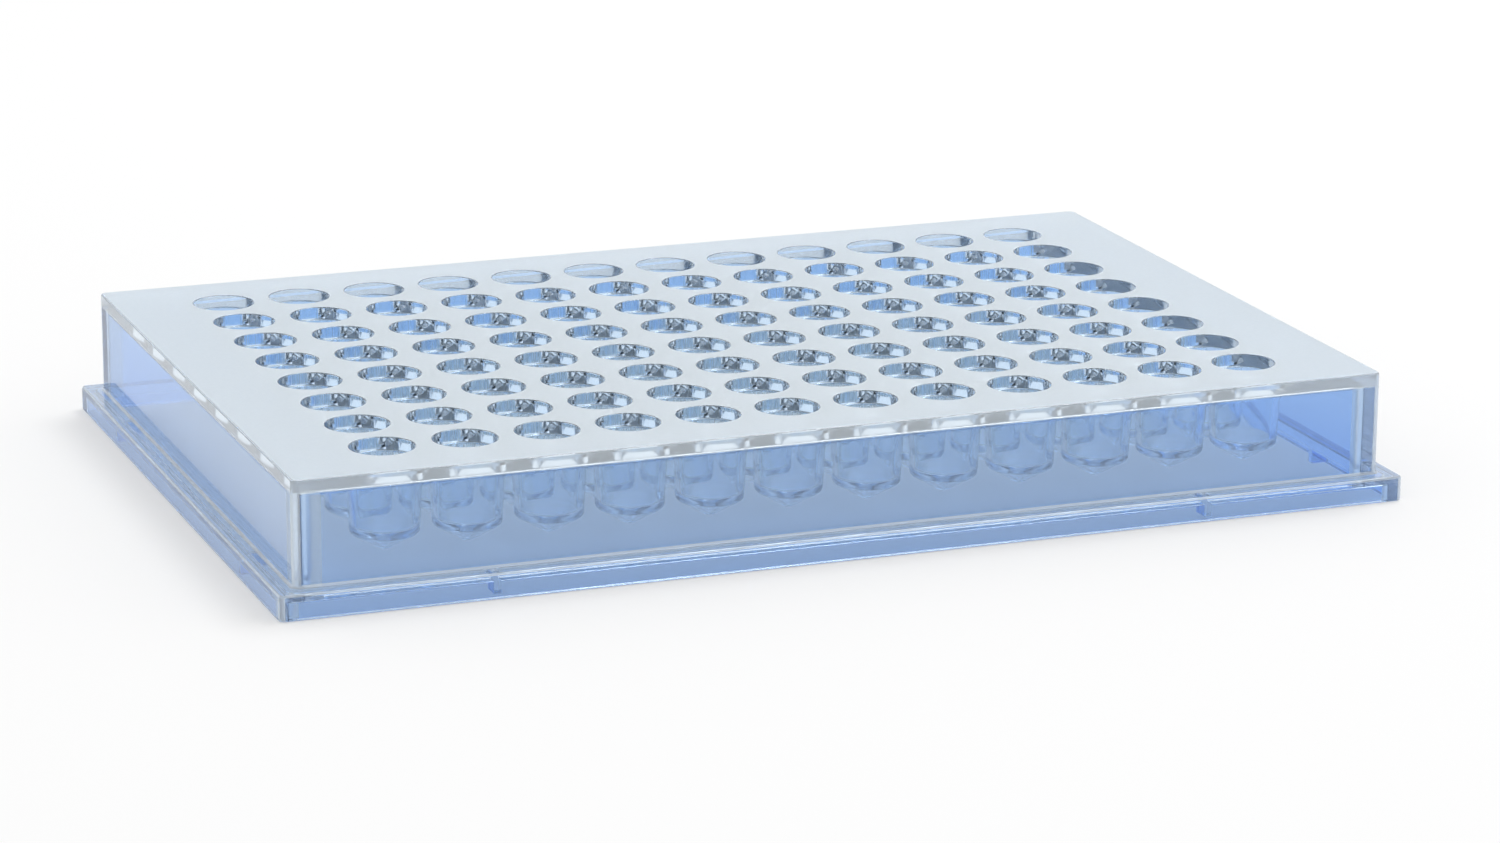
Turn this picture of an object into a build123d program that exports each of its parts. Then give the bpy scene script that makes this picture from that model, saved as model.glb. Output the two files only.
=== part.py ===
from build123d import *
import math
import os

os.makedirs("parts", exist_ok=True)

# A well plate: one clear moulding that stands on an open-bottomed skirt.
# The flat deck carries a square grid of wells with blunt conical bottoms, which
# hang from it as thin tubes. The foot of the skirt steps outward into a low
# flange, so that the plate can be gripped and stacked. Sizes are in millimetres.
# The origin lies on the resting plane, in the middle of the footprint.

# Footprint and height
PLATE_LENGTH = 127.76       # over the flange, along X
PLATE_WIDTH = 85.48         # over the flange, along Y
PLATE_HEIGHT = 14.22        # resting plane to the top of the deck
FLANGE_CORNER_RADIUS = 0.6

# Flange: the skirt steps outward over a ledge and drops to the table as a lip
FLANGE_HEIGHT = 2.8         # resting plane to the top of the ledge
FLANGE_REACH_ENDS = 2.08    # how far it stands out from the short walls
FLANGE_REACH_SIDES = 1.95   # how far it stands out from the long walls
LEDGE_THICKNESS = 1.0
LIP_THICKNESS = 1.2
LIP_INNER_RADIUS = 1.0

# Skirt: the four upright walls
SKIRT_THICKNESS = 1.2
SKIRT_CORNER_RADIUS = 0.8
SKIRT_INNER_RADIUS = 2.0

# Deck and well grid
DECK_THICKNESS = 1.5
WELL_PITCH = 9.0
LEAST_MARGIN_ENDS = 12.0    # last well centre to the outside of a short wall
LEAST_MARGIN_SIDES = 9.0    # last well centre to the outside of a long wall

# One well: a round wall that narrows a little downward, then a blunt cone
WELL_MOUTH_DIAMETER = 6.86
WELL_DEPTH = 9.9            # deck to the lowest point inside
WELL_TAPER = 2.8            # degrees from the upright, on each side
BOTTOM_SLOPE = 30.0         # degrees from the level, on each side
WELL_TIP_RADIUS = 0.8       # rounds the lowest point inside
WELL_SHOULDER_RADIUS = 0.4  # rounds the turn from wall to bottom inside

# The tube round it
TUBE_WALL = 0.7
BOTTOM_WALL = 0.95
TUBE_TIP_RADIUS = 1.2
TUBE_SHOULDER_RADIUS = 0.6
TUBE_ROOT_FILLET = 0.28     # where the tube leaves the underside of the deck

# Small webs that stiffen the lip, one near each end of each side
WEB_THICKNESS = 0.8
WEB_FOOT_CLEARANCE = 0.4    # resting plane to the foot of a web
WEB_FROM_ENDS = 23.4        # from the outside of the short lips
WEB_FROM_SIDES = 16.2       # from the outside of the long lips

CUTTER_OVERRUN = 0.5        # how far a cutter runs past the face it opens
SAME_PLACE = 0.01           # sizes closer than this are one when edges are picked


# ------------------------------------------------------- sizes that follow

BODY_LENGTH = PLATE_LENGTH - 2 * FLANGE_REACH_ENDS
BODY_WIDTH = PLATE_WIDTH - 2 * FLANGE_REACH_SIDES
DECK_UNDERSIDE = PLATE_HEIGHT - DECK_THICKNESS
LEDGE_UNDERSIDE = FLANGE_HEIGHT - LEDGE_THICKNESS

COLUMNS = int((BODY_LENGTH - 2 * LEAST_MARGIN_ENDS) // WELL_PITCH) + 1
ROWS = int((BODY_WIDTH - 2 * LEAST_MARGIN_SIDES) // WELL_PITCH) + 1

TAPER = math.radians(WELL_TAPER)
DROP = math.radians(BOTTOM_SLOPE)

# Where the cone inside a well would come to a point if its tip were not rounded
WELL_APEX = PLATE_HEIGHT - WELL_DEPTH - WELL_TIP_RADIUS * (1 / math.cos(DROP) - 1)


def side_radius(wall, height):
    """Radius at a height of the surface that stands one wall outside the well."""
    at_deck = WELL_MOUTH_DIAMETER / 2 + wall / math.cos(TAPER)
    return at_deck - (PLATE_HEIGHT - height) * math.tan(TAPER)


TUBE_ROOT_RADIUS = side_radius(TUBE_WALL, DECK_UNDERSIDE)
TUBE_GAP = WELL_PITCH - 2 * TUBE_ROOT_RADIUS
LARGEST_ROOT_FILLET = TUBE_GAP / 3     # leaves a flat between neighbouring roots


# ------------------------------------------------------------------ shapes

def rounded_block(length, width, bottom, top, radius):
    """Upright block on the middle of the footprint, with round corners."""
    outline = RectangleRounded(length, width, radius)
    return Pos(0, 0, bottom) * extrude(outline, amount=top - bottom)


def cup(wall, bottom_wall, shoulder_radius, tip_radius, top):
    """Turned solid that stands outside the hollow of a well by the two walls."""
    apex = WELL_APEX - bottom_wall / math.cos(DROP)
    shoulder = side_radius(wall, apex) / (1 - math.tan(DROP) * math.tan(TAPER))
    centre = apex + tip_radius / math.cos(DROP)
    lowest, halfway, tangent = [
        (tip_radius * math.sin(angle), centre - tip_radius * math.cos(angle))
        for angle in (0, DROP / 2, DROP)
    ]
    with BuildSketch(Plane.XZ) as profile:
        with BuildLine():
            ThreePointArc(lowest, halfway, tangent)
            Polyline(
                tangent,
                (shoulder, apex + shoulder * math.tan(DROP)),
                (side_radius(wall, top), top),
                (0, top),
                lowest,
            )
        make_face()
        # Of the two widest corners the lower one is the turn from wall to bottom
        widest = profile.vertices().sort_by(Axis.X)[-2:]
        fillet(widest.sort_by(Axis.Y)[0], shoulder_radius)
    return revolve(profile.sketch, Axis.Z)


def skirt_and_deck():
    """Open-bottomed box with its flange, before the wells are added."""
    body = rounded_block(BODY_LENGTH, BODY_WIDTH, 0, PLATE_HEIGHT, SKIRT_CORNER_RADIUS)
    flange = rounded_block(PLATE_LENGTH, PLATE_WIDTH, 0, FLANGE_HEIGHT, FLANGE_CORNER_RADIUS)
    under_deck = rounded_block(
        BODY_LENGTH - 2 * SKIRT_THICKNESS,
        BODY_WIDTH - 2 * SKIRT_THICKNESS,
        -CUTTER_OVERRUN,
        DECK_UNDERSIDE,
        SKIRT_INNER_RADIUS,
    )
    under_ledge = rounded_block(
        PLATE_LENGTH - 2 * LIP_THICKNESS,
        PLATE_WIDTH - 2 * LIP_THICKNESS,
        -CUTTER_OVERRUN,
        LEDGE_UNDERSIDE,
        LIP_INNER_RADIUS,
    )
    return body + flange - under_deck - under_ledge


def webs():
    """Webs under the ledge, between the inside of the lip and the skirt."""
    height = LEDGE_UNDERSIDE - WEB_FOOT_CLEARANCE
    middle = WEB_FOOT_CLEARANCE + height / 2
    side_x = PLATE_LENGTH / 2 - WEB_FROM_ENDS
    side_y = PLATE_WIDTH / 2 - LIP_THICKNESS - FLANGE_REACH_SIDES / 2
    end_x = PLATE_LENGTH / 2 - LIP_THICKNESS - FLANGE_REACH_ENDS / 2
    end_y = PLATE_WIDTH / 2 - WEB_FROM_SIDES
    pieces = []
    for x_sign in (-1, 1):
        for y_sign in (-1, 1):
            at_side = Pos(x_sign * side_x, y_sign * side_y, middle)
            at_end = Pos(x_sign * end_x, y_sign * end_y, middle)
            pieces.append(at_side * Box(WEB_THICKNESS, FLANGE_REACH_SIDES, height))
            pieces.append(at_end * Box(FLANGE_REACH_ENDS, WEB_THICKNESS, height))
    return pieces


def well_places():
    """Where the wells stand: a square grid in the middle of the deck."""
    return GridLocations(WELL_PITCH, WELL_PITCH, COLUMNS, ROWS)


def well_plate():
    """The whole moulding."""
    within_deck = DECK_UNDERSIDE + DECK_THICKNESS / 2
    above_deck = PLATE_HEIGHT + CUTTER_OVERRUN
    tube = cup(TUBE_WALL, BOTTOM_WALL, TUBE_SHOULDER_RADIUS, TUBE_TIP_RADIUS, within_deck)
    hollow = cup(0, 0, WELL_SHOULDER_RADIUS, WELL_TIP_RADIUS, above_deck)
    plate = skirt_and_deck() + webs()
    plate = plate + [place * tube for place in well_places()]
    plate = plate - [place * hollow for place in well_places()]
    roots = [
        edge
        for edge in plate.edges().filter_by(GeomType.CIRCLE)
        if abs(edge.radius - TUBE_ROOT_RADIUS) < SAME_PLACE
        and abs(edge.center().Z - DECK_UNDERSIDE) < SAME_PLACE
    ]
    root_fillet = min(TUBE_ROOT_FILLET, LARGEST_ROOT_FILLET)
    # Tubes that grow into one another leave no flat between their roots to round
    return fillet(roots, root_fillet) if root_fillet > 0 else plate


plate = well_plate()
plate.label = "well_plate"
export_step(plate, "parts/well_plate.step")
print("columns", COLUMNS, "rows", ROWS)
print("lowest point inside a well", round(PLATE_HEIGHT - WELL_DEPTH, 3))
print("tube root radius", round(TUBE_ROOT_RADIUS, 3), "gap", round(TUBE_GAP, 3))
print("volume mm3", round(plate.volume, 1), "solids", len(plate.solids()))
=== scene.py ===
# %% [markdown]
# # A clear well plate
# A well plate is a shallow tray that a laboratory uses as a rack of tiny test
# tubes. It comes out of the mould in one piece of clear polystyrene. There is
# nothing to assemble, so the whole lesson is about one closed skin and about the
# way light travels through it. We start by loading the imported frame, which holds
# the true size and place of the plate.

# %% Load the frame
import math

import bpy
import numpy as np
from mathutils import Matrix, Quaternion, Vector


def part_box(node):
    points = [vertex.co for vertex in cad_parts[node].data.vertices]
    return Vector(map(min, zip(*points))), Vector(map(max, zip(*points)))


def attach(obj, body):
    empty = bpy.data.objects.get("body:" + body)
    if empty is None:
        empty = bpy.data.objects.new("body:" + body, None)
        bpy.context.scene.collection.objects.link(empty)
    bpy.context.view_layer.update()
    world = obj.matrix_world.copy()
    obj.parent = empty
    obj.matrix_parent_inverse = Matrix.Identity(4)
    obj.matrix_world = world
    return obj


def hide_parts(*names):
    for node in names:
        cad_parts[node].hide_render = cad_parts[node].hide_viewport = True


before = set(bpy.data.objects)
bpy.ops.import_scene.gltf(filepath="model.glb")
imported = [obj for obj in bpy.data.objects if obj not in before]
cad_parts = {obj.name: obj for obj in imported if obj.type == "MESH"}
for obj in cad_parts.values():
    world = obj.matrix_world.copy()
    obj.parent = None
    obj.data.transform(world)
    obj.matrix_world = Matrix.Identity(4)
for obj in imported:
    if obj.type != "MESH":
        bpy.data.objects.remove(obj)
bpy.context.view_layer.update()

plate_low, plate_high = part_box("well_plate")
print("frame box", [round(v, 5) for v in plate_low], [round(v, 5) for v in plate_high])

# %% [markdown]
# ## The sizes of the moulding
# Clear plastic shows its inside, so the thickness of every wall matters as much
# as the outline. The overall box comes from the frame. The rest are the sizes of
# the moulding in metres: flange, skirt, deck and wells. The last group are the
# small roundings that a mould leaves on each edge. They look unimportant, but in
# a clear object every rounded edge is a lens that draws a light or a dark line.

# %% Sizes of the moulding
MM = 0.001
half_length = plate_high.x
half_width = plate_high.y
deck_top = plate_high.z

ledge_top = 2.8 * MM
ledge_underside = 1.8 * MM
lip_thickness = 1.2 * MM
reach_ends = 2.08 * MM
reach_sides = 1.95 * MM
skirt_thickness = 1.2 * MM
deck_underside = deck_top - 1.5 * MM

flange_corner = 0.6 * MM
lip_inner_corner = 1.0 * MM
skirt_corner = 0.8 * MM
skirt_inner_corner = 2.0 * MM

pitch = 9.0 * MM
columns, rows = 12, 8
mouth_radius = 3.43 * MM
well_depth = 9.9 * MM
taper = math.radians(2.8)
drop = math.radians(30.0)
well_tip, well_shoulder = 0.8 * MM, 0.4 * MM
tube_wall, bottom_wall = 0.7 * MM, 0.95 * MM
tube_tip, tube_shoulder = 1.2 * MM, 0.6 * MM

web_thickness = 0.8 * MM
web_foot = 0.4 * MM
web_from_ends = 23.4 * MM
web_from_sides = 16.2 * MM

mouth_rounding = 0.12 * MM
root_fillet = 0.28 * MM
deck_rounding = 0.2 * MM
waist_fillet = 0.3 * MM
ledge_rounding = 0.25 * MM
foot_rounding = 0.15 * MM
hollow_fillet = 0.3 * MM
step_rounding = 0.2 * MM
ceiling_fillet = 0.5 * MM

body_x = half_length - reach_ends
body_y = half_width - reach_sides
print("deck", round(2 * body_x / MM, 2), "x", round(2 * body_y / MM, 2), "mm")

# %% [markdown]
# ## A skin that knows its own normals
# Blender normally guesses how a surface curves by averaging the faces round each
# point. On a clear part that guess bends light the wrong way wherever a large
# flat face meets a thin rounding. Here every point is made together with its
# true direction, taken from the circle or the plane it lies on, and the mesh
# keeps those directions as custom normals. Flat faces then stay optically flat
# and the roundings stay round with only a few segments.

# %% A skin that knows its own normals
class Skin:
    """Points with their true normals, and the faces between them."""

    def __init__(self):
        self.places = []
        self.normals = []
        self.faces = []
        self.flats = {}

    def point(self, place, normal):
        self.places.append(place)
        self.normals.append(normal)
        return len(self.places) - 1

    def face(self, corners, flat=None):
        """Adds a face. A flat one has a single normal, whatever its points say."""
        if flat:
            self.flats[len(self.faces)] = flat
        self.faces.append(corners)

    def bridge(self, ring_a, ring_b):
        """Joins two closed rings of equal count with four-sided faces."""
        for i in range(len(ring_a)):
            j = (i + 1) % len(ring_a)
            self.face([ring_a[i], ring_a[j], ring_b[j], ring_b[i]])

    def finished(self):
        """Turns each face the way its normals point, and lists corner normals."""
        corners = np.concatenate(self.faces)
        sizes = np.array([len(face) for face in self.faces])
        starts = np.concatenate([[0], np.cumsum(sizes)[:-1]])
        following = np.arange(1, len(corners) + 1)
        following[starts + sizes - 1] = starts
        places = np.array(self.places)
        normals = np.array(self.normals, float)[corners]
        for index, flat in self.flats.items():
            normals[starts[index]:starts[index] + sizes[index]] = flat
        crossed = np.cross(places[corners], places[corners[following]])
        facing = np.add.reduceat(crossed, starts)
        wanted = np.add.reduceat(normals, starts)
        faces = []
        for index, face in enumerate(self.faces):
            if facing[index] @ wanted[index] < 0:
                span = slice(starts[index], starts[index] + sizes[index])
                normals[span] = normals[span][::-1]
                face = face[::-1]
            faces.append(face)
        return places, faces, normals / np.linalg.norm(normals, axis=1, keepdims=True)


skin = Skin()


def arc(start, end, steps):
    """Angles from start to end, both included, in equal steps."""
    return [start + (end - start) * i / steps for i in range(steps + 1)]


# %% [markdown]
# ## One well as a turned profile
# Each well is a test tube: a mouth, a wall that narrows by a few degrees so that
# the plate can leave its mould, and a blunt cone that gathers the last drop in
# the middle. Turned shapes are easiest to describe by half of their section, so
# the profile is a list of radius, height and normal from the deck down to the
# lowest point. The inside and the outside are two such lists. Both are the same
# cup, and the outer one stands off by the thickness of the plastic. The turn
# from wall to cone and the tip are arcs, because a sharp edge would not fill
# well in the mould and would catch no light.

# %% One well as a turned profile
well_apex = deck_top - well_depth - well_tip * (1 / math.cos(drop) - 1)
wall_steps, mouth_steps = 3, 2


def side_radius(wall, height):
    """Radius at a height of the surface that stands one wall outside the well."""
    return mouth_radius + wall / math.cos(taper) - (deck_top - height) * math.tan(taper)


def turn(centre, height, radius, start, end, steps, side):
    """Points on a rounding. Side is 1 where it bulges and -1 where it is hollow."""
    section = []
    for angle in arc(start, end, steps):
        across, up = math.cos(angle), math.sin(angle)
        section.append((centre + radius * across, height + radius * up, side * across, side * up))
    return section


def cup_bottom(wall, below, shoulder, tip, side):
    """The turn from wall to cone, then the tip. Side is 1 outside and -1 inside."""
    apex = well_apex - below / math.cos(drop)
    corner = side_radius(wall, apex) / (1 - math.tan(drop) * math.tan(taper))
    reach = shoulder / (1 + math.sin(drop + taper))
    centre = corner - reach * (math.cos(taper) + math.sin(drop))
    height = apex + corner * math.tan(drop) + reach * (math.sin(taper) + math.cos(drop))
    cone = drop - math.pi / 2
    section = turn(centre, height, shoulder, -taper, cone, wall_steps, side)
    return section + turn(0, apex + tip / math.cos(drop), tip, cone, -math.pi / 2, wall_steps, side)


def inside_section():
    """From the rounded mouth down to the bottom of the well."""
    height = deck_top - mouth_rounding
    centre = side_radius(0, height) + mouth_rounding / math.cos(taper)
    mouth = turn(centre, height, mouth_rounding, math.pi / 2, math.pi - taper, mouth_steps, 1)
    collar = [(side_radius(0, deck_underside), deck_underside, -math.cos(taper), math.sin(taper))]
    return mouth + collar + cup_bottom(0, 0, well_shoulder, well_tip, -1)


def outside_section():
    """From the fillet under the deck down to the bottom of the tube."""
    height = deck_underside - root_fillet
    centre = side_radius(tube_wall, height) + root_fillet / math.cos(taper)
    root = turn(centre, height, root_fillet, math.pi / 2, math.pi - taper, mouth_steps, -1)
    return root + cup_bottom(tube_wall, bottom_wall, tube_shoulder, tube_tip, 1)


for name, section in (("inside", inside_section()), ("outside", outside_section())):
    print(name, "of a well:", len(section), "points, lowest", round(section[-1][1] / MM, 3), "mm")

# %% [markdown]
# ## Ninety-six wells in a quilt of squares
# A deck with many holes is awkward to cut, and a boolean would leave thin
# triangles. A quilt is simpler: each well stands in its own square of deck, and a
# ring of faces joins the round mouth to the square. Neighbouring squares share
# the points on their edges, so the quilt closes without a seam. The underside is
# quilted in the same way around the tubes.

# %% Ninety-six wells in a quilt of squares
ring_count = 44
side_count = ring_count // 4
shared = {}


def quilt_point(x, y, z, up):
    """A point on the edge of a square, made once and shared by its neighbours."""
    key = (round(x / MM, 3), round(y / MM, 3), up)
    if key not in shared:
        shared[key] = skin.point((x, y, z), (0, 0, up))
    return shared[key]


def square(x, y, z, up):
    """The edge of one square as a ring that starts at its first corner."""
    corners = [(1, 1), (-1, 1), (-1, -1), (1, -1)]
    ring = []
    for (ax, ay), (bx, by) in zip(corners, corners[1:] + corners[:1]):
        for i in range(side_count):
            share = i / side_count
            px = x + pitch / 2 * (ax + (bx - ax) * share)
            py = y + pitch / 2 * (ay + (by - ay) * share)
            ring.append(quilt_point(px, py, z, up))
    return ring


def turned(x, y, section, ring):
    """Turns a section about one well's axis and joins it on to a ring."""
    for radius, height, across, up in section[:-1]:
        circle = []
        for i in range(ring_count):
            angle = math.pi / 4 + 2 * math.pi * i / ring_count
            c, s = math.cos(angle), math.sin(angle)
            place = (x + radius * c, y + radius * s, height)
            circle.append(skin.point(place, (across * c, across * s, up)))
        skin.bridge(ring, circle)
        ring = circle
    _, height, _, up = section[-1]
    pole = skin.point((x, y, height), (0, 0, up))
    for i in range(ring_count):
        skin.face([ring[i], ring[(i + 1) % ring_count], pole])


inside = inside_section()
outside = outside_section()
for column in range(columns):
    for row in range(rows):
        x = (column - (columns - 1) / 2) * pitch
        y = (row - (rows - 1) / 2) * pitch
        turned(x, y, inside, square(x, y, deck_top, 1))
        turned(x, y, outside, square(x, y, deck_underside, -1))
well_faces = len(skin.faces)
print("wells", columns * rows, "faces so far", well_faces)

# %% [markdown]
# ## The skirt, ledge and lip as one swept section
# Around the quilt runs a wall with a step at its foot. Its section is the same
# all the way round, so it is swept: each point of the section becomes a loop that
# follows the rectangle with its own corner radius. The section starts at the edge
# of the deck, goes down outside, under the lip, up inside and ends under the deck.
# Each corner of the section is a small arc, either rounded outward or filleted.

# %% The skirt, ledge and lip as one swept section
corner_steps = 6
round_edge_steps = 3


class Station:
    """One point of the section: half sizes, corner radius, height and normal."""

    def __init__(self, inset, corner, height, out, up):
        self.x = half_length - inset[0]
        self.y = half_width - inset[1]
        self.corner = corner
        self.height = height
        self.out = out
        self.up = up


def edge(base, corner, height, size, start, end, hollow):
    """A rounded edge, or a fillet where hollow is -1, between two directions."""
    stations = []
    for angle in arc(math.radians(start), math.radians(end), round_edge_steps):
        out, up = math.cos(angle), math.sin(angle)
        shift = hollow * size * out
        inset = (base[0] - shift, base[1] - shift)
        stations.append(Station(inset, corner + shift, height + hollow * size * up, out, up))
    return stations


def moved(inset, by):
    return (inset[0] + by, inset[1] + by)


flange = (0.0, 0.0)
body = (reach_ends, reach_sides)
lip = (lip_thickness, lip_thickness)
hall = (reach_ends + skirt_thickness, reach_sides + skirt_thickness)

section = []
section += edge(moved(body, deck_rounding), skirt_corner - deck_rounding,
                deck_top - deck_rounding, deck_rounding, 90, 0, 1)
section.append(Station(body, skirt_corner, deck_underside, 1, 0))
section += edge(moved(body, -waist_fillet), skirt_corner + waist_fillet,
                ledge_top + waist_fillet, waist_fillet, 0, 90, -1)
section += edge(moved(flange, ledge_rounding), flange_corner - ledge_rounding,
                ledge_top - ledge_rounding, ledge_rounding, 90, 0, 1)
section += edge(moved(flange, foot_rounding), flange_corner - foot_rounding,
                foot_rounding, foot_rounding, 0, -90, 1)
section += edge(moved(lip, -foot_rounding), lip_inner_corner + foot_rounding,
                foot_rounding, foot_rounding, -90, -180, 1)
foot_station = len(section)
section.append(Station(lip, lip_inner_corner, web_foot, -1, 0))
section += edge(moved(lip, hollow_fillet), lip_inner_corner - hollow_fillet,
                ledge_underside - hollow_fillet, hollow_fillet, 180, 270, -1)
section += edge(moved(hall, -step_rounding), skirt_inner_corner + step_rounding,
                ledge_underside + step_rounding, step_rounding, 270, 180, 1)
step_station = len(section) - 1
section += edge(moved(hall, ceiling_fillet), skirt_inner_corner - ceiling_fillet,
                deck_underside - ceiling_fillet, ceiling_fillet, 180, 270, -1)
print("stations in the section", len(section))

# %% [markdown]
# ## Loops round the rectangle
# A loop has an arc at each corner and only a few points along each side, just
# where the small webs under the ledge begin and end. Straight stretches need no
# more, because the normals already say that they are flat.

# %% Loops round the rectangle
side_webs = half_length - web_from_ends
end_webs = half_width - web_from_sides
SIDES = [((1, 0), (0, 1), end_webs), ((0, 1), (-1, 0), side_webs),
         ((-1, 0), (0, -1), end_webs), ((0, -1), (1, 0), side_webs)]


def loop(station):
    """Indices of one loop, side by side, each side followed by its corner."""
    ring = []
    for (ox, oy), (ax, ay), web in SIDES:
        across = station.x if ox else station.y
        for sign in (-1, 1):
            for edge_of_web in (-1, 1):
                along = sign * web + edge_of_web * web_thickness / 2
                place = (ox * across + ax * along, oy * across + ay * along, station.height)
                ring.append(skin.point(place, (ox * station.out, oy * station.out, station.up)))
        sx, sy = ox + ax, oy + ay
        cx = sx * (station.x - station.corner)
        cy = sy * (station.y - station.corner)
        first = math.atan2(oy, ox)
        for angle in arc(first, first + math.pi / 2, corner_steps):
            c, s = math.cos(angle), math.sin(angle)
            place = (cx + station.corner * c, cy + station.corner * s, station.height)
            ring.append(skin.point(place, (station.out * c, station.out * s, station.up)))
    return ring


loops = [loop(station) for station in section]
per_side = len(loops[0]) // 4
web_starts = [side * per_side + start for side in range(4) for start in (0, 2)]

for level in range(len(loops) - 1):
    lower, upper = loops[level], loops[level + 1]
    for i in range(len(lower)):
        if i in web_starts and foot_station <= level < step_station:
            continue
        j = (i + 1) % len(lower)
        skin.face([lower[i], lower[j], upper[j], upper[i]])
print("points in a loop", len(loops[0]))

# %% [markdown]
# ## Webs under the ledge
# Eight small webs brace the thin lip against the skirt. Each is a block that
# grows out of the surfaces around it. The loops were left open at those places,
# so a web is closed with a foot, an end and two cheeks that share the loops'
# points. Its faces are flat, so they carry their own normals and stay crisp.

# %% Webs under the ledge
for start in web_starts:
    (ox, oy), (ax, ay), _ = SIDES[start // per_side]
    toes = []
    for i in (start, start + 1):
        px, py, _ = skin.places[loops[step_station][i]]
        toes.append(skin.point((px, py, web_foot), (0, 0, -1)))
    foot = loops[foot_station]
    step = loops[step_station]
    skin.face([foot[start], foot[start + 1], toes[1], toes[0]], (0, 0, -1))
    skin.face([toes[0], toes[1], step[start + 1], step[start]], (-ox, -oy, 0))
    for i, toe, sign in ((start, toes[0], -1), (start + 1, toes[1], 1)):
        cheek = [loops[level][i] for level in range(foot_station, step_station + 1)]
        skin.face(cheek + [toe], (sign * ax, sign * ay, 0))
print("webs", len(web_starts))

# %% [markdown]
# ## Closing the deck
# Between the quilt and the first and last loops there is a flat margin of deck,
# above and below. One many-sided face for each side is enough, because the
# margin is a plane. Each runs from the middle of one corner to the middle of the
# next, and on the inside it takes in every shared point along the quilt.

# %% Closing the deck
quilt_x = columns * pitch / 2
quilt_y = rows * pitch / 2


def quilt_side(outward, along, up):
    """Shared points along one side of the quilt, in the direction of along."""
    reach = quilt_x if outward[0] else quilt_y
    half = quilt_y if outward[0] else quilt_x
    step = pitch / side_count
    found = []
    for i in range(round(2 * half / step) + 1):
        t = -half + i * step
        x = outward[0] * reach + along[0] * t
        y = outward[1] * reach + along[1] * t
        found.append(shared[(round(x / MM, 3), round(y / MM, 3), up)])
    return found


for ring, up in ((loops[0], 1), (loops[-1], -1)):
    count = len(ring)
    for side, (outward, along, _) in enumerate(SIDES):
        middle = side * per_side + 4 + corner_steps // 2
        previous = middle - per_side
        outer = [ring[k % count] for k in range(previous, middle + 1)]
        skin.face(outer + quilt_side(outward, along, up)[::-1], (0, 0, up))
print("faces in all", len(skin.faces))

# %% [markdown]
# ## From lists to a mesh
# The lists become one mesh, and the normal at each face corner goes in last. The
# edge count tells us whether the skin is closed: in a watertight mesh every edge
# has exactly two faces.

# %% From lists to a mesh
mesh = bpy.data.meshes.new("well_plate_moulding")
places, faces, corner_normals = skin.finished()
mesh.from_pydata(places, [], faces)
mesh.polygons.foreach_set("use_smooth", [True] * len(mesh.polygons))
mesh.normals_split_custom_set(corner_normals)
mesh.update()
plate = bpy.data.objects.new("well_plate_moulding", mesh)
bpy.context.collection.objects.link(plate)

uses = np.zeros(len(mesh.edges), int)
edge_of_corner = np.empty(len(mesh.loops), int)
mesh.loops.foreach_get("edge_index", edge_of_corner)
np.add.at(uses, edge_of_corner, 1)
mesh.calc_loop_triangles()
print("triangles", len(mesh.loop_triangles), "open edges", int(np.sum(uses != 2)))

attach(plate, "root")
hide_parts("well_plate")

# %% [markdown]
# ## The polished skirt
# The skirt is polished and as clear as glass. Its cool blue cast is a stand-in:
# polystyrene has hardly any colour of its own, and the blue most likely comes
# from what stands round it. A tint could sit in the depth of the material, but
# then light that is trapped in the deck and travels a long way would turn black.
# Here the tint sits on the surface: each wall that the light crosses takes out some red,
# so one wall looks pale and two look bluer. The foot is deepest. Part of that is real,
# because there the wall, the ledge and the lip lie behind one another. A ramp over the
# height deepens the blue further towards the foot. That part is painted shade for the
# floor in the plate's shadow, seen through the wall. Melted plastic also leaves faint
# flow marks as it fills the mould, so a soft noise varies the roughness and lifts the
# surface a little.

# %% The polished skirt
SKIRT, WELLS, DECK, PAINTED_GLOW, MOUTHS, LEDGE = range(6)
polystyrene_ior = 1.59
noise_detail = 3.0
noise_low, noise_high = 0.3, 0.7


def new_finish(name, clear):
    """A material on the plate: its nodes with the shader, for clear plastic."""
    material = bpy.data.materials.new(name)
    material.use_nodes = True
    plate.data.materials.append(material)
    surface = material.node_tree.nodes["Principled BSDF"]
    surface.inputs["Transmission Weight"].default_value = clear
    surface.inputs["IOR"].default_value = polystyrene_ior
    return material.node_tree, surface


def grain(tree, surface, scale, smoothest, roughest, height):
    """Noise that varies the roughness of a surface and lifts it by a height."""
    place = tree.nodes.new("ShaderNodeTexCoord")
    noise = tree.nodes.new("ShaderNodeTexNoise")
    noise.inputs["Scale"].default_value = scale
    noise.inputs["Detail"].default_value = noise_detail
    tree.links.new(place.outputs["Object"], noise.inputs["Vector"])
    spread = tree.nodes.new("ShaderNodeMapRange")
    spread.inputs["From Min"].default_value = noise_low
    spread.inputs["From Max"].default_value = noise_high
    spread.inputs["To Min"].default_value = smoothest
    spread.inputs["To Max"].default_value = roughest
    tree.links.new(noise.outputs["Fac"], spread.inputs["Value"])
    tree.links.new(spread.outputs["Result"], surface.inputs["Roughness"])
    lift = tree.nodes.new("ShaderNodeBump")
    lift.inputs["Strength"].default_value = 1.0
    lift.inputs["Distance"].default_value = height
    tree.links.new(noise.outputs["Fac"], lift.inputs["Height"])
    tree.links.new(lift.outputs["Normal"], surface.inputs["Normal"])


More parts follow.
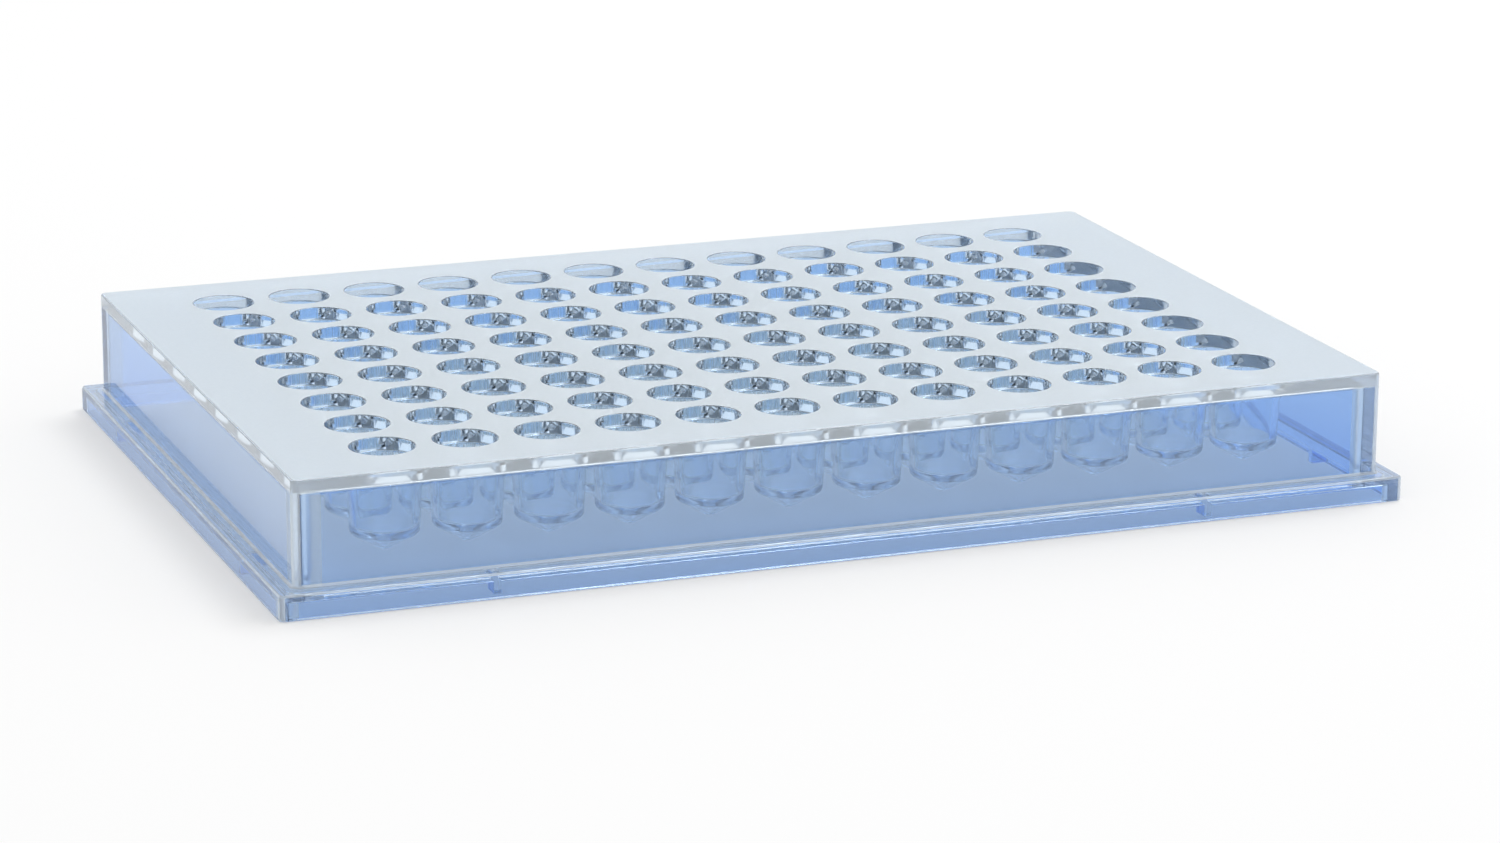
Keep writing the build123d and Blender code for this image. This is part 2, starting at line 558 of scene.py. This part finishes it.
def height_shade_ramp(tree, surface, stops):
    """Colours the surface by height, with stops of height and colour; here it paints shade that
    deepens towards the foot.
    """
    place = tree.nodes.new("ShaderNodeTexCoord")
    split = tree.nodes.new("ShaderNodeSeparateXYZ")
    share = tree.nodes.new("ShaderNodeMapRange")
    share.inputs["From Max"].default_value = deck_top
    ramp = tree.nodes.new("ShaderNodeValToRGB")
    tree.links.new(place.outputs["Object"], split.inputs[0])
    tree.links.new(split.outputs["Z"], share.inputs["Value"])
    tree.links.new(share.outputs["Result"], ramp.inputs["Fac"])
    tree.links.new(ramp.outputs["Color"], surface.inputs["Base Color"])
    elements = ramp.color_ramp.elements
    while len(elements) < len(stops):
        elements.new(0.5)
    for element, (height, colour) in zip(elements, stops):
        element.position = height / deck_top
        element.color = (*colour, 1.0)


# The deeper blue of the foot is painted shade, fading to the wall's tint under the deck.
foot_painted_shade = (0.40, 0.60, 0.95)
wall_tint = (0.52, 0.70, 0.97)
skirt_clear = 0.96
tree, surface = new_finish("polished_skirt", skirt_clear)
height_shade_ramp(tree, surface, [(0.0, foot_painted_shade), (deck_underside, wall_tint)])
grain(tree, surface, scale=180.0, smoothest=0.02, roughest=0.06, height=0.004 * MM)
print("skirt:", skirt_clear, "clear")

# %% [markdown]
# ## The polished wells
# The walls of the wells are little more than half as thick as the skirt, so they
# take out much less red and look nearly colourless. They are polished as well,
# because a reader looks through them, so nothing is scattered here. With a quarter
# of the light scattered the tubes look like solid pegs, and even a few per cent
# darken their bottoms. The wells are the first faces of the skin, so they are easy
# to find.

# %% The polished wells
well_tint = (0.93, 0.97, 1.0, 1.0)
well_clear = 1.0
tree, surface = new_finish("polished_wells", well_clear)
surface.inputs["Base Color"].default_value = well_tint
grain(tree, surface, scale=400.0, smoothest=0.03, roughest=0.08, height=0.002 * MM)
finish = np.zeros(len(plate.data.polygons), dtype=np.int32)
finish[:well_faces] = WELLS
print("faces of wells", well_faces)

# %% [markdown]
# ## The matte deck
# The top of the deck is different: it looks milky, and the wells stand out from
# it. What makes it so isn't known, and a matte finish stands in for the cause. It
# is the same plastic, so only the finish changes: more than half of the light is
# scattered where it enters, and the tubes below no longer show through. Every
# face that lies wholly in the top plane of the deck takes this finish.

# %% The matte deck
deck_tint = (0.79, 0.88, 0.95, 1.0)
deck_clear = 0.38
tree, surface = new_finish("matte_deck", deck_clear)
surface.inputs["Base Color"].default_value = deck_tint
grain(tree, surface, scale=3000.0, smoothest=0.45, roughest=0.60, height=0.003 * MM)

heights = np.empty(len(plate.data.vertices) * 3)
plate.data.vertices.foreach_get("co", heights)
heights = heights[2::3]
hair = 0.001 * MM
spans = [(heights[list(face.vertices)].min(), heights[list(face.vertices)].max())
         for face in plate.data.polygons]
lowest, highest = np.array(spans).T
finish[lowest > deck_top - hair] = DECK
print("faces of the deck", int((finish == DECK).sum()))

# %% [markdown]
# ## Edges with a painted glow
# Light that has entered the deck or the skirt anywhere is trapped between the two
# faces and leaves where the plastic ends or bends. So the rim of the deck, the
# roundings of the ledge and the upright corners are paler than the rest, as the
# edge of any sheet of clear plastic is. With a perfectly clear finish the rim has
# dark patches, which are still there with 96 bounces. So the rim, the bends of the
# ledge and the corners get a paler tint and a finish that scatters part of the light.
# This is a painted highlight for the light that leaves there, not physics. Grey patches
# are left on the rim even so. The mouths of the wells and the flat of the ledge don't
# get it. The mouths stay perfectly clear, with a little more blue than the wells below
# them, and the flat of the ledge is a paler version of the skirt, a painted highlight too.

# %% Edges with a painted glow
# The rim, the ledge bends and the upright corners get a paler tint and scattering: a painted
# highlight.
painted_glow_tint = (0.88, 0.95, 1.0, 1.0)
painted_glow_clear = 0.68
mouth_tint = (0.66, 0.82, 1.0, 1.0)
mouth_clear = 1.0
# The flat of the ledge is tinted paler than the skirt: a painted highlight.
ledge_painted_pale_tint = (0.84, 0.92, 1.0, 1.0)
ledge_clear = 0.96
for name, clear, tint in (("edges_painted_glow", painted_glow_clear, painted_glow_tint),
                          ("well_mouths", mouth_clear, mouth_tint),
                          ("clear_ledge_painted_pale", ledge_clear, ledge_painted_pale_tint)):
    tree, surface = new_finish(name, clear)
    surface.inputs["Base Color"].default_value = tint
    grain(tree, surface, scale=400.0, smoothest=0.05, roughest=0.15, height=0.002 * MM)

least_turn = 0.1
facing = np.empty(len(finish) * 3)
plate.data.polygons.foreach_get("normal", facing)
facing = np.abs(facing.reshape(-1, 3))
deck_bands = (lowest > deck_underside - hair) & (highest > deck_underside + hair)
corner_bands = (facing[:, 0] > least_turn) & (facing[:, 1] > least_turn)
ledge = lowest > ledge_top - ledge_rounding - hair
ledge &= highest < ledge_top + waist_fillet + hair
ledge_bends = ledge & (highest > lowest + hair)
finish[(finish == WELLS) & deck_bands] = MOUTHS
# Painted highlight on the rim, the ledge bends and the upright corners.
finish[(finish == SKIRT) & (deck_bands | corner_bands | ledge_bends)] = PAINTED_GLOW
# Painted highlight: the flat of the ledge takes the paler tint.
finish[(finish == SKIRT) & ledge] = LEDGE
plate.data.polygons.foreach_set("material_index", finish)
for number, name in enumerate(("skirt", "wells", "deck", "edges", "mouths", "ledge")):
    print("faces of the", name, int((finish == number).sum()))

# %% [markdown]
# ## A floor to stand on
# A clear part shows little of its own: what we see is mostly the floor and the
# room through it. So the stage is kept plain and pale. The floor is a matt white
# sheet, with no gloss to mirror the plate. Seen by the camera, or through or off
# the plastic, part of it is swapped for a steady white with the Light Path node.
# The rest stays matt, so the soft shadow under the plate is kept. The floor lies a
# hair below the plate, because two faces in one plane would flicker.

# %% A floor to stand on
floor_colour = (0.9, 0.9, 0.9, 1.0)
floor_share = 0.4
floor_reach = 4.0
floor_drop = 0.05 * MM
background = ["Is Camera Ray", "Is Glossy Ray", "Is Transmission Ray"]


def background_rays(tree, rays):
    """1 for the kinds of ray that should see the plain white background."""
    path = tree.nodes.new("ShaderNodeLightPath")
    total = path.outputs[rays[0]]
    for ray in rays[1:]:
        both = tree.nodes.new("ShaderNodeMath")
        both.operation = "MAXIMUM"
        tree.links.new(total, both.inputs[0])
        tree.links.new(path.outputs[ray], both.inputs[1])
        total = both.outputs[0]
    return total


floor_material = bpy.data.materials.new("white_floor")
floor_material.use_nodes = True
tree = floor_material.node_tree
matt = tree.nodes["Principled BSDF"]
matt.inputs["Base Color"].default_value = floor_colour
matt.inputs["Roughness"].default_value = 0.9
matt.inputs["Specular IOR Level"].default_value = 0.0
white = tree.nodes.new("ShaderNodeEmission")
white.inputs["Color"].default_value = (1.0, 1.0, 1.0, 1.0)
share = tree.nodes.new("ShaderNodeMath")
share.operation = "MULTIPLY"
share.inputs[1].default_value = floor_share
blend = tree.nodes.new("ShaderNodeMixShader")
tree.links.new(background_rays(tree, background), share.inputs[0])
tree.links.new(share.outputs[0], blend.inputs[0])
tree.links.new(matt.outputs[0], blend.inputs[1])
tree.links.new(white.outputs[0], blend.inputs[2])
tree.links.new(blend.outputs[0], tree.nodes["Material Output"].inputs["Surface"])

floor_mesh = bpy.data.meshes.new("floor")
floor_mesh.from_pydata([(x * floor_reach, y * floor_reach, 0)
                        for x, y in ((-1, -1), (1, -1), (1, 1), (-1, 1))], [], [(0, 1, 2, 3)])
floor_mesh.materials.append(floor_material)
floor = bpy.data.objects.new("floor", floor_mesh)
floor.location.z = -floor_drop
bpy.context.collection.objects.link(floor)
print("floor", 2 * floor_reach, "m across")

# %% [markdown]
# ## Soft light
# The world is an even white room, a little under full strength on the plate and at
# full strength behind it, so white stays white and the colours come out about as
# they are written. One large softbox from above and to the right adds the gentle
# highlights and gives the shadow a direction. Light crosses many walls of a clear
# part before it gets out, so a path may bounce 32 times here. With the usual 12 the
# bottoms of the wells turn dark. With 24 they clear, and 96 add very little.

# %% Soft light
world_light = 0.8
lamp_watts = 5.0
lamp_size = (0.5, 0.4)
lamp_place = (0.42, 0.20, 1.1)
bounces = 32

scene = bpy.context.scene
scene.cycles.max_bounces = bounces
scene.cycles.transmission_bounces = bounces
scene.cycles.glossy_bounces = bounces

world = bpy.data.worlds.new("white_room")
world.use_nodes = True
scene.world = world
tree = world.node_tree
sky = tree.nodes["Background"]
sky.inputs["Color"].default_value = (1.0, 1.0, 1.0, 1.0)
strength = tree.nodes.new("ShaderNodeMapRange")
strength.inputs["To Min"].default_value = world_light
strength.inputs["To Max"].default_value = 1.0
tree.links.new(background_rays(tree, background), strength.inputs["Value"])
tree.links.new(strength.outputs["Result"], sky.inputs["Strength"])

lamp_data = bpy.data.lights.new("top_softbox", "AREA")
lamp_data.shape = "RECTANGLE"
lamp_data.size, lamp_data.size_y = lamp_size
lamp_data.energy = lamp_watts
lamp = bpy.data.objects.new("top_softbox", lamp_data)
lamp.location = lamp_place
lamp.rotation_euler = (-lamp.location).to_track_quat("-Z", "Y").to_euler()
lamp.visible_camera = False
bpy.context.collection.objects.link(lamp)
print("softbox", lamp_watts, "W, world", world_light)

# %% [markdown]
# ## The camera
# A plate is best shown from low down and off one corner, where the front wall, the
# end wall and the deck are all in view and we look both at the wells and into
# them. A long lens from half a metre away keeps the rows nearly parallel, as a
# catalogue picture does. The direction is given as a turn round the plate, a
# height above it and a slight roll, which is easier to adjust than three angles.

# %% The camera
camera_data = bpy.data.cameras.new("camera")
camera_data.sensor_width = 36.0
camera_data.lens = 118.006
camera = bpy.data.objects.new("camera", camera_data)
camera.location = (-0.188940, -0.501306, 0.155523)
turned, raised, rolled = [math.radians(a) for a in (20.9835, 15.8190, 0.3611)]
forward = Vector((math.sin(turned) * math.cos(raised), math.cos(turned) * math.cos(raised),
                  -math.sin(raised)))
camera.rotation_mode = "QUATERNION"
camera.rotation_quaternion = Quaternion(forward, -rolled) @ forward.to_track_quat("-Z", "Y")
bpy.context.collection.objects.link(camera)
scene.camera = camera
scene.view_settings.view_transform = "Standard"
print("lens", camera_data.lens, "mm")
